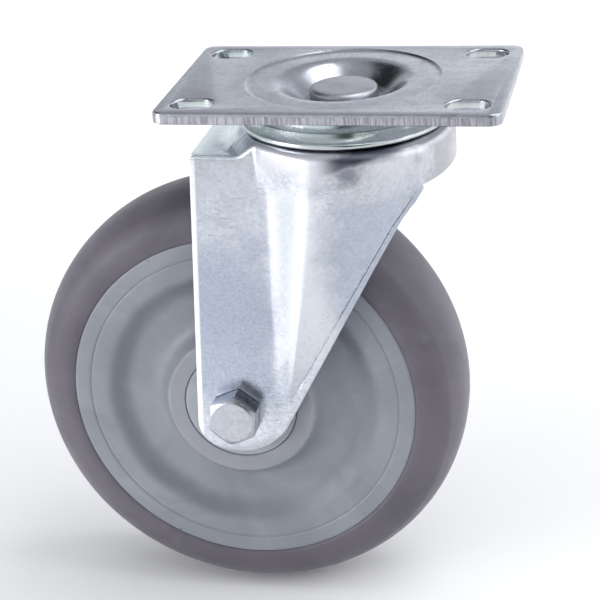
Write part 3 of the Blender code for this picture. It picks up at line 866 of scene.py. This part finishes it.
def make_plate():
    plate = plate_slab()
    tools = []
    for n, (sx, sy) in enumerate(((-1, -1), (1, -1), (1, 1), (-1, 1))):
        tools.append((slot_tool(n + 1, sx * SLOT_X / 2, sy * SLOT_Y / 2), "DIFFERENCE"))
    tools.append((turned("dish_body", [
        (0, -2, "c"), (20.4, -2, "c"), (19.6, -3.25), (18.4, -3.9), (16.4, -5.6), (13.6, -8.0),
        (11.6, -8.9), (9.5, -9.05), (0, -9.05, "c")], 96), "UNION"))
    tools.append((turned("dish_hollow", [
        (0, 3, "c"), (27.2, 3, "c"), (26.95, 0.05), (26.75, -0.06), (26.35, -0.38), (25.95, -0.5),
        (25.2, -0.49), (22.5, -0.42), (20.0, -0.40), (18.3, -0.62), (16.6, -1.6), (14.4, -3.6),
        (12.6, -5.1),
        (11.2, -5.75), (9.8, DISH_Z), (0, DISH_Z, "c")], 160), "DIFFERENCE"))
    tools.append((turned("pin_hole", [(0, 3, "c"), (5.25, 3, "c"), (5.25, -14, "c"),
                                      (0, -14, "c")], 48), "DIFFERENCE"))
    for tool, operation in tools:
        boolean(plate, tool, operation)
    bpy.context.view_layer.update()
    plate = baked(plate, 28)
    for tool, _ in tools:
        bpy.data.objects.remove(tool, do_unlink=True)
    finished(plate, [LOOKS["plate"], LOOKS["cut_edge"], LOOKS["ring"]], "top_plate")
    for face in plate.data.polygons:
        c = face.center / MM
        outer = abs(c.x) > PLATE_X / 2 - 3.2 or abs(c.y) > PLATE_Y / 2 - 3.2
        slot = abs(abs(c.x) - SLOT_X / 2) < 7 and abs(abs(c.y) - SLOT_Y / 2) < 5.5
        if abs(face.normal.z) < 0.3 and c.z < -ROLL_OVER * 0.8 and outer:
            face.material_index = 1
        elif abs(face.normal.z) < 0.3 and slot:
            face.material_index = 2


make_plate()

# ---------------------------------------------------------------- swivel head
finished(turned("kingpin_rivet", [
    (0, -1.93), (5.5, -1.96), (8.2, -2.05), (8.9, -2.3), (9.35, -2.9), (9.4, -3.6), (9.4, -5.0),
    (9.1, -5.55, "c"), (5.0, -5.6, "c"), (5.0, -22.5, "c"), (8.3, -22.5, "c"), (8.1, -23.5),
    (7.2, -24.7), (5.6, -25.3), (3.2, -25.55), (0, -25.6)], 96), LOOKS["rivet"], "kingpin")

finished(turned("race_cup", [
    (18.9, -3.95, "c"), (25.45, -3.55, "c"), (25.75, -4.6), (26.15, -5.7), (26.75, -6.5),
    (27.0, -6.62), (27.15, -6.95), (27.6, -7.9), (28.2, -8.7), (28.75, -9.15), (28.9, -9.6),
    (28.85, -10.1), (28.5, -10.45), (28.05, -10.5), (27.5, -10.2), (26.0, -7.9), (25.0, -5.9),
    (24.7, -4.7, "c"), (18.9, -4.7, "c")], 160, step=0.35), LOOKS["ring"], "race_ring")

finished(turned("lower_cup", [
    (5.3, -20.2, "c"), (9.5, -20.35), (11.2, -20.4), (12.6, -20.2), (13.6, -19.6), (14.4, -18.4),
    (14.9, -17.0), (15.1, -15.0, "c"), (16.9, -15.0, "c"), (16.8, -17.4), (16.3, -19.2),
    (15.0, -21.1), (13.6, -21.95), (12.2, -22.2), (5.3, -22.2, "c")], 96),
    LOOKS["ring"], "lower_race")


def ball_mesh(name, radius):
    """Smooth ball from an evenly divided cube, with no poles."""
    bm = bmesh.new()
    bmesh.ops.create_cube(bm, size=2)
    bmesh.ops.subdivide_edges(bm, edges=bm.edges, cuts=11, use_grid_fill=True)
    for v in bm.verts:
        x, y, z = v.co
        v.co = Vector((x * math.sqrt(max(0, 1 - y * y / 2 - z * z / 2 + y * y * z * z / 3)),
                       y * math.sqrt(max(0, 1 - z * z / 2 - x * x / 2 + z * z * x * x / 3)),
                       z * math.sqrt(max(0, 1 - x * x / 2 - y * y / 2 + x * x * y * y / 3))))
        v.co = v.co.normalized() * radius * MM
    mesh = bpy.data.meshes.new(name)
    bm.to_mesh(mesh)
    bm.free()
    mesh.shade_smooth()
    mesh.materials.append(LOOKS["bearing"])
    return mesh


def make_balls(prefix, mesh):
    """Put a smooth ball where each faceted one of a row is."""
    for node in [n for n in NODES if n.startswith(prefix)]:
        lo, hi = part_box(node)
        ball = new_piece(node.replace("ball", "steel_ball"), mesh,
                         Matrix.Translation((lo + hi) / 2))
        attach(ball, BODY_OF[node])
        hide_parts(node)


swivel_ball = ball_mesh("swivel_ball", 3.0)
make_balls("upper_ball", swivel_ball)
make_balls("lower_ball", swivel_ball)
make_balls("bearing_ball", ball_mesh("bearing_ball", 2.38))

# ---------------------------------------------------------------- axle
BOLT_FLATS = 13.0
SEAT_Y = 22.0
THREAD_R = 3.95
THREAD_PITCH = 1.25
AXLE_PLACE = Matrix.Translation(AXLE) @ ALONG_Y


def hexagon(name, face, seat, turn, flat_r, both_ends=False):
    """Six-sided head along Z, its outer face cut to a round crown."""
    bm = bmesh.new()
    across = BOLT_FLATS / math.sqrt(3) * MM
    bmesh.ops.create_cone(bm, cap_ends=True, segments=6, radius1=across, radius2=across,
                          depth=abs(face - seat) * MM)
    mesh = bpy.data.meshes.new(name)
    bm.to_mesh(mesh)
    bm.free()
    mesh.transform(Matrix.Translation((0, 0, (face + seat) / 2 * MM))
                   @ Matrix.Rotation(math.radians(turn), 4, "Z"))
    obj = new_piece(name, mesh, AXLE_PLACE)
    inward = 1 if seat > face else -1
    slope = (8.6 - flat_r) * 0.55
    low = ([(8.6, seat - inward * slope, "c"), (flat_r, seat, "c"), (0, seat, "c")]
           if both_ends else [(8.6, seat + inward, "c"), (0, seat + inward, "c")])
    crown = turned(f"{name}_crown", [(0, face, "c"), (flat_r, face, "c"),
                                     (8.6, face + inward * slope, "c")] + low, 96, AXLE_PLACE)
    boolean(obj, crown, "INTERSECT")
    return obj, crown


def threaded_end(name, start, end):
    """Threaded rod along Z between two heights, its end chamfered."""
    turns_of, rows = 64, int((end - start) / THREAD_PITCH * 10)
    bm = bmesh.new()
    rings = []
    for i in range(rows + 1):
        z = lerp(start, end, i / rows)
        ring = []
        for k in range(turns_of):
            phase = (z / THREAD_PITCH - k / turns_of) % 1
            deep = 0.62 * max(0.0, 1 - abs(phase - 0.5) / 0.42)
            r = min(THREAD_R - deep, THREAD_R - 0.75 + (end - z))
            a = 2 * math.pi * k / turns_of
            ring.append(bm.verts.new((r * math.cos(a) * MM, r * math.sin(a) * MM, z * MM)))
        rings.append(ring)
    for low, high in zip(rings, rings[1:]):
        for k in range(turns_of):
            n = (k + 1) % turns_of
            bm.faces.new((low[k], low[n], high[n], high[k]))
    bm.faces.new(rings[0][::-1])
    bm.faces.new(rings[-1])
    mesh = bpy.data.meshes.new(name)
    bm.to_mesh(mesh)
    bm.free()
    return new_piece(name, mesh, AXLE_PLACE)


def make_bolt():
    bolt, crown = hexagon("axle_bolt_head", -HEAD_FACE, -SEAT_Y, -53, 5.95)
    round_edges(bolt, 0.14, 12, 2)
    shank = turned("bolt_shank", [(0, -26, "c"), (THREAD_R, -26, "c"), (THREAD_R, 20.3),
                                  (THREAD_R - 0.6, 21.0, "c"), (0, 21.0, "c")], 64, AXLE_PLACE)
    thread = threaded_end("bolt_thread", 20.9, BOLT_END)
    boolean(bolt, shank, "UNION")
    boolean(bolt, thread, "UNION")
    bpy.context.view_layer.update()
    bolt = baked(bolt, 30)
    for tool in (crown, shank, thread):
        bpy.data.objects.remove(tool, do_unlink=True)
    return finished(bolt, LOOKS["bolt"], "axle_bolt")


def make_nut():
    nut, crown = hexagon("axle_hex_nut", NUT_FACE, SEAT_Y, -8, 5.95, both_ends=True)
    round_edges(nut, 0.12, 12, 2)
    bore = turned("nut_bore", [(0, 34, "c"), (8.5, 34, "c"), (4.25, 29.75, "c"),
                               (4.25, 22.3, "c"), (8.5, 18, "c"), (0, 18, "c")], 64, AXLE_PLACE)
    boolean(nut, bore)
    bpy.context.view_layer.update()
    nut = baked(nut, 30)
    for tool in (crown, bore):
        bpy.data.objects.remove(tool, do_unlink=True)
    return finished(nut, LOOKS["bolt"], "axle_nut")


make_bolt()
make_nut()
finished(turned("spacer_sleeve", [
    (4.3, 18.4), (4.5, 18.6, "c"), (5.75, 18.6, "c"), (6.0, 18.35, "c"), (6.0, -18.35, "c"),
    (5.75, -18.6, "c"), (4.5, -18.6, "c"), (4.3, -18.4, "c")], 64, AXLE_PLACE, step=6),
    LOOKS["sleeve"], "axle_sleeve")


# ---------------------------------------------------------------- wheel
def both_sides(half):
    """Closed profile of a wheel piece from the points of its half, outward side first."""
    mirrored = [(p[0], -p[1], *p[2:]) for p in reversed(half) if p[1]]
    return half + mirrored


core_half = [
    (12.0, 0.0), (12.0, 7.7, "c"), (14.3, 7.7, "c"), (14.3, 16.0, "c"), (16.45, 16.0, "c"),
    (16.45, 17.55, "c"), (16.7, HUB_HALF, "c"), (20.6, HUB_HALF), (21.2, 17.75), (21.55, 17.45),
    (21.9, 16.4), (22.7, 14.9), (24.2, 13.3), (26.2, 12.35), (29.0, 11.95), (33.2, 11.9),
    (35.0, 12.15), (36.8, 12.95), (38.6, 14.05), (40.0, 14.8), (41.6, 15.15), (45.1, 15.3),
    (45.35, 15.2), (45.5, 15.1), (45.65, 15.26), (45.95, 15.42), (47.5, 15.5), (49.9, 15.5),
    (50.2, 15.3, "c"), (50.2, 9.4, "c"), (53.0, 7.5, "c")]
finished(turned("wheel_centre", both_sides(core_half), 192, AXLE_PLACE, 40, 0.8),
         LOOKS["core"], "wheel_core")


def tread_r(y):
    """Tread's radius across its width, with a fine moulding line round the middle."""
    line = 0.05 * max(0.0, 1 - abs(y) / 0.3)
    return WHEEL_R - 0.10 - 6.2 * abs(y / TREAD_HALF) ** 2.5 + line


tread_line = [(tread_r(y), y) for y in (13.2, 11.9, 10.2, 8.0, 5.5, 3.0, 1.0, 0.35,
                                       0.0)]
tyre_half = [(53.2, 7.6, "c"), (50.26, 9.55, "c"), (50.26, 15.3), (50.4, 15.52), (51.2, 15.78),
             (52.4, TREAD_HALF), (53.8, 15.87), (55.2, 15.6), (56.5, 15.2), (57.6, 14.65),
             (58.5, 14.0)] + tread_line
finished(turned("soft_tread", both_sides(tyre_half), 224, AXLE_PLACE, 40, 0.9),
         LOOKS["tread"], "tyre")

BEARING_Y = 12.0
RACE_PITCH = 10.0
TRACK_R = 2.68
TRACK_HALF_W = 1.9


def ball_track(outward, side):
    """Groove of a bearing ring as an arc round the balls' centres."""
    pts = []
    for k in range(-6, 7):
        y = TRACK_HALF_W * k / 6
        pts.append((RACE_PITCH + outward * math.sqrt(TRACK_R ** 2 - y * y), side * (BEARING_Y + y)))
    pts[0] += ("c",)
    pts[-1] += ("c",)
    return pts


for label, side in (("near", -1), ("far", 1)):
    def sided(profile):
        return [(p[0], side * p[1], *p[2:]) for p in profile]

    finished(turned(f"hub_cap_{label}", sided([
        (6.4, 16.35, "c"), (16.0, 16.35, "c"), (CAP_R, 16.6), (CAP_R, 17.45), (16.1, 17.72),
        (15.8, HUB_HALF), (9.0, HUB_HALF), (8.5, 17.75), (8.0, 17.45), (7.4, 17.4), (6.5, 17.4),
        (6.4, 17.2)]), 96, AXLE_PLACE), LOOKS["cap"], f"dust_cap_{label}")
    finished(turned(f"outer_ring_{label}", sided(
        [(13.8, 16.0, "c"), (14.0, 15.8, "c"), (14.0, 8.2, "c"), (13.8, 8.0, "c"),
         (11.9, 8.0, "c")]) + ball_track(1, side) + sided([(11.9, 16.0, "c")]), 96, AXLE_PLACE),
        LOOKS["bearing"], f"bearing_outer_{label}")
    finished(turned(f"inner_ring_{label}", sided(
        [(6.3, 8.2, "c"), (6.5, 8.0, "c"), (8.1, 8.0, "c")]) + ball_track(-1, side)
        + sided([(8.1, 16.0, "c"), (6.5, 16.0, "c"), (6.3, 15.8, "c")]), 96, AXLE_PLACE),
        LOOKS["bearing"], f"bearing_inner_{label}")

# ---------------------------------------------------------------- everything else keeps its CAD
for node, obj in NODES.items():
    if obj.hide_render:
        continue
    slot = SLOT_OF[node]
    look = {"zinc_plate": "plate", "zinc_fork": "fork", "zinc_ring": "ring", "zinc_bolt": "bolt",
            "rivet_steel": "rivet", "sleeve_steel": "sleeve", "bearing_steel": "bearing",
            "cage_brass": "cage", "core_plastic": "core", "cap_plastic": "cap",
            "tread_rubber": "tread"}[slot]
    obj.data.materials.clear()
    obj.data.materials.append(LOOKS[look])

# ---------------------------------------------------------------- floor, lights and camera
FLOOR_Z = cad_box[0].z
bpy.ops.mesh.primitive_plane_add(size=8, location=(0, 0, FLOOR_Z - 0.0002))
floor = bpy.context.object
floor.name = "floor"
floor_look = bpy.data.materials.new("pale_floor")
floor_look.use_nodes = True
floor_shader = floor_look.node_tree.nodes["Principled BSDF"]
floor_shader.inputs["Base Color"].default_value = (0.92, 0.92, 0.925, 1)
floor_shader.inputs["Roughness"].default_value = 0.9
floor.data.materials.append(floor_look)

scene = bpy.context.scene
scene.view_settings.view_transform = "Standard"


def make_world():
    """Pale sweep at the horizon, dimmer overhead, with the dark patches of the camera's own side
    and of the open ceiling on the left."""
    world = bpy.data.worlds.new("studio")
    world.use_nodes = True
    scene.world = world
    tree = world.node_tree
    nodes, links = tree.nodes, tree.links
    background = nodes["Background"]
    direction = nodes.new("ShaderNodeTexCoord").outputs["Generated"]

    def eased(value, lo, hi, out_lo, out_hi):
        n = nodes.new("ShaderNodeMapRange")
        n.interpolation_type = "SMOOTHSTEP"
        links.new(value, n.inputs["Value"])
        for key, v in (("From Min", lo), ("From Max", hi), ("To Min", out_lo), ("To Max", out_hi)):
            n.inputs[key].default_value = v
        return n.outputs["Result"]

    height = nodes.new("ShaderNodeSeparateXYZ")
    links.new(direction, height.inputs["Vector"])
    strength = eased(height.outputs["Z"], *WORLD_SWEEP)
    for toward, outer, inner, dark in WORLD_FLAGS:
        facing = nodes.new("ShaderNodeVectorMath")
        facing.operation = "DOT_PRODUCT"
        links.new(direction, facing.inputs[0])
        facing.inputs[1].default_value = Vector(toward).normalized()
        shade = eased(facing.outputs["Value"], math.cos(math.radians(outer)),
                      math.cos(math.radians(inner)), 1.0, dark)
        both = nodes.new("ShaderNodeMath")
        both.operation = "MULTIPLY"
        links.new(strength, both.inputs[0])
        links.new(shade, both.inputs[1])
        strength = both.outputs["Value"]
    links.new(strength, background.inputs["Strength"])
    background.inputs["Color"].default_value = (0.93, 0.955, 1.0, 1)


WORLD_SWEEP = (0.30, 0.50, 1.24, 0.64)
WORLD_FLAGS = (((0.30, -0.87, 0.36), 28, 13, 0.02), ((-0.70, 0.32, 0.64), 32, 15, 0.05),
               ((-0.52, 0.79, 0.33), 24, 8, 0.62))
make_world()

CENTRE = Vector((AXLE_X / 2, 0, AXLE_Z * 0.72)) * MM


def softbox(name, direction, distance, width, height, power):
    light = bpy.data.lights.new(name, "AREA")
    light.shape = "RECTANGLE"
    light.size, light.size_y = width, height
    light.energy = power
    obj = bpy.data.objects.new(name, light)
    scene.collection.objects.link(obj)
    away = Vector(direction).normalized()
    obj.location = CENTRE + away * distance
    obj.rotation_euler = (-away).to_track_quat("-Z", "Y").to_euler()
    obj.visible_camera = False


softbox("overhead", (0.32, 0.02, 0.95), 1.0, 0.62, 0.45, 2.6)
softbox("top_right", (0.75, 0.05, 0.65), 0.9, 0.6, 0.6, 1.9)
softbox("front_right_top", (0.45, -0.55, 0.72), 0.9, 0.5, 0.5, 0.72)
softbox("left_front", (-0.8, -0.6, 0.1), 0.7, 0.3, 0.3, 2.1)
softbox("right", (1.0, -0.1, 0.2), 0.8, 0.5, 0.5, 0.7)
softbox("right_back", (0.8, 0.65, 0.25), 0.9, 0.5, 0.5, 0.7)


def floor_card(name, x, y, turn, length, width, power):
    """Reflector lying just over the floor, outside the picture, that lights from below."""
    light = bpy.data.lights.new(name, "AREA")
    light.shape = "RECTANGLE"
    light.size, light.size_y = length, width
    light.energy = power
    obj = bpy.data.objects.new(name, light)
    scene.collection.objects.link(obj)
    obj.location = (x, y, FLOOR_Z + 0.004)
    obj.rotation_euler = (math.pi, 0, math.radians(turn))
    obj.visible_camera = False


floor_card("left_card", -0.185, -0.125, 30, 0.26, 0.20, 0.070)
floor_card("far_left_card", -0.27, -0.05, -70, 0.30, 0.16, 0.045)
floor_card("front_card", -0.09, -0.27, -14, 0.22, 0.10, 0.013)
floor_card("right_card", 0.15, 0.04, 60, 0.16, 0.10, 0.015)


def backdrop_light(power):
    """Narrow-beamed box that whitens the floor behind the castor and misses the castor."""
    light = bpy.data.lights.new("backdrop", "AREA")
    light.shape = "RECTANGLE"
    light.size, light.size_y = 1.4, 0.5
    light.energy = power
    light.spread = math.radians(70)
    obj = bpy.data.objects.new("backdrop", light)
    scene.collection.objects.link(obj)
    obj.location = (-0.08, 0.62, FLOOR_Z + 0.75)
    obj.visible_camera = False


backdrop_light(1.5)

YAW, PITCH, ROLL = (math.radians(a) for a in (13.63, 24.37, -4.11))
DISTANCE = 0.5187
TARGET = Vector((-0.0164, 0, -0.0666))
LENS_SHARE = 1805 / 600

camera = bpy.data.cameras.new("camera")
camera.sensor_width = 36
camera.lens = 36 * LENS_SHARE
cam = bpy.data.objects.new("camera", camera)
scene.collection.objects.link(cam)
forward = Vector((-math.sin(YAW) * math.cos(PITCH), math.cos(YAW) * math.cos(PITCH),
                  -math.sin(PITCH)))
right = Vector((math.cos(YAW), math.sin(YAW), 0))
up = right.cross(forward)
right, up = (right * math.cos(ROLL) + up * math.sin(ROLL),
             up * math.cos(ROLL) - right * math.sin(ROLL))
cam.matrix_world = Matrix.Translation(TARGET - forward * DISTANCE) @ Matrix(
    (right, up, -forward)).transposed().to_4x4()
scene.camera = cam
